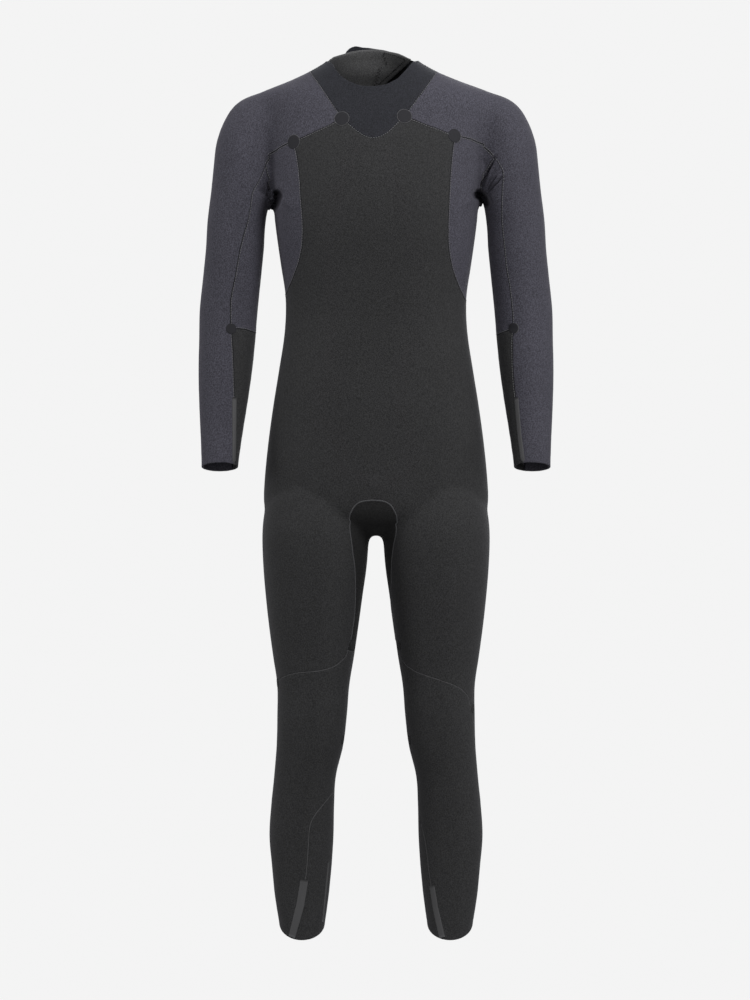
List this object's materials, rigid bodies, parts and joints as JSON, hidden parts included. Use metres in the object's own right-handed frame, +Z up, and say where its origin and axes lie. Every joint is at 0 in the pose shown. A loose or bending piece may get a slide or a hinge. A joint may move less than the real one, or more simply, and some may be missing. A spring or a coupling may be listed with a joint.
{
  "type": "full wetsuit",
  "caption": "Full-length neoprene wetsuit with long sleeves, raglan shoulders, a stand collar with a closing tab, and a curved back zip with its slider and puller.",
  "frame": {"origin": "on the suit's middle plane, between the shoulders, level with the inside of the shoulders where a hanger's arms carry it", "axes": "+Z up from the ankle hems to the collar, the chest faces -Y, the back zip is on +Y, the wearer's left is +X"},
  "size_m": [0.586, 0.2431, 1.4748],
  "materials": {
    "body_jersey": "matte",
    "sleeve_jersey": "matte",
    "collar_jersey": "matte",
    "gusset_jersey": "matte",
    "lining_jersey": "matte",
    "patch_film": "satin",
    "seam_tape": "satin",
    "seam_sealant": "satin",
    "hook_and_loop": "matte",
    "zip_tape_weave": "matte",
    "zip_tooth_plastic": "satin",
    "zip_metal": "satin"
  },
  "bodies": {
    "suit": {"collar_yoke": "collar_jersey", "collar_back_left": "collar_jersey", "collar_back_right": "collar_jersey", "collar_inner_flap": "lining_jersey", "collar_loop_pad": "hook_and_loop", "front_panel": "body_jersey", "upper_back_left": "body_jersey", "upper_back_right": "body_jersey", "seat_panel": "body_jersey", "crotch_gusset": "gusset_jersey", "sleeve_left": "sleeve_jersey", "sleeve_right": "sleeve_jersey", "side_panel_left": "sleeve_jersey", "side_panel_right": "sleeve_jersey", "underarm_panel_left": "sleeve_jersey", "underarm_panel_right": "sleeve_jersey", "forearm_panel_left": "body_jersey", "forearm_panel_right": "body_jersey", "knee_panel_left": "body_jersey", "knee_panel_right": "body_jersey", "inner_calf_panel_left": "body_jersey", "inner_calf_panel_right": "body_jersey", "calf_panel_left": "body_jersey", "calf_panel_right": "body_jersey", "zip_tape_left": "zip_tape_weave", "zip_tape_right": "zip_tape_weave", "zip_teeth_left": "zip_tooth_plastic", "zip_teeth_right": "zip_tooth_plastic", "zip_top_stops": "zip_tooth_plastic", "zip_bottom_box": "zip_tooth_plastic", "zip_backing_flap": "lining_jersey", "zip_end_patch": "patch_film", "collar_spot_patches": "patch_film", "chest_spot_patches": "patch_film", "elbow_spot_patches": "patch_film", "knee_spot_patches": "patch_film", "wrist_tape_left": "seam_tape", "wrist_tape_right": "seam_tape", "ankle_tapes_left": "seam_tape", "ankle_tapes_right": "seam_tape", "gusset_seam_bead": "seam_sealant"},
    "slider": {"zip_slider": "zip_metal", "slider_pin": "zip_metal"},
    "puller": {"zip_puller": "zip_metal"},
    "tab": {"collar_tab": "collar_jersey", "tab_hook_pad": "hook_and_loop"}
  },
  "joints": [
    {"name": "zip_travel", "type": "hinge", "parent": "suit", "child": "slider", "pos_m": [0, -0.982, -0.153], "axis": [1, 0, 0], "range_deg": [-18.79, 0]},
    {"name": "puller_swing", "type": "hinge", "parent": "slider", "child": "puller", "pos_m": [0, 0.10912, -0.00285], "axis": [1, 0, 0], "range_deg": [0, 165]},
    {"name": "tab_swing", "type": "hinge", "parent": "suit", "child": "tab", "pos_m": [0.0507, 0.0623, 0.0606], "axis": [0, 0.7537, -0.6572], "range_deg": [0, 120]}
  ]
}
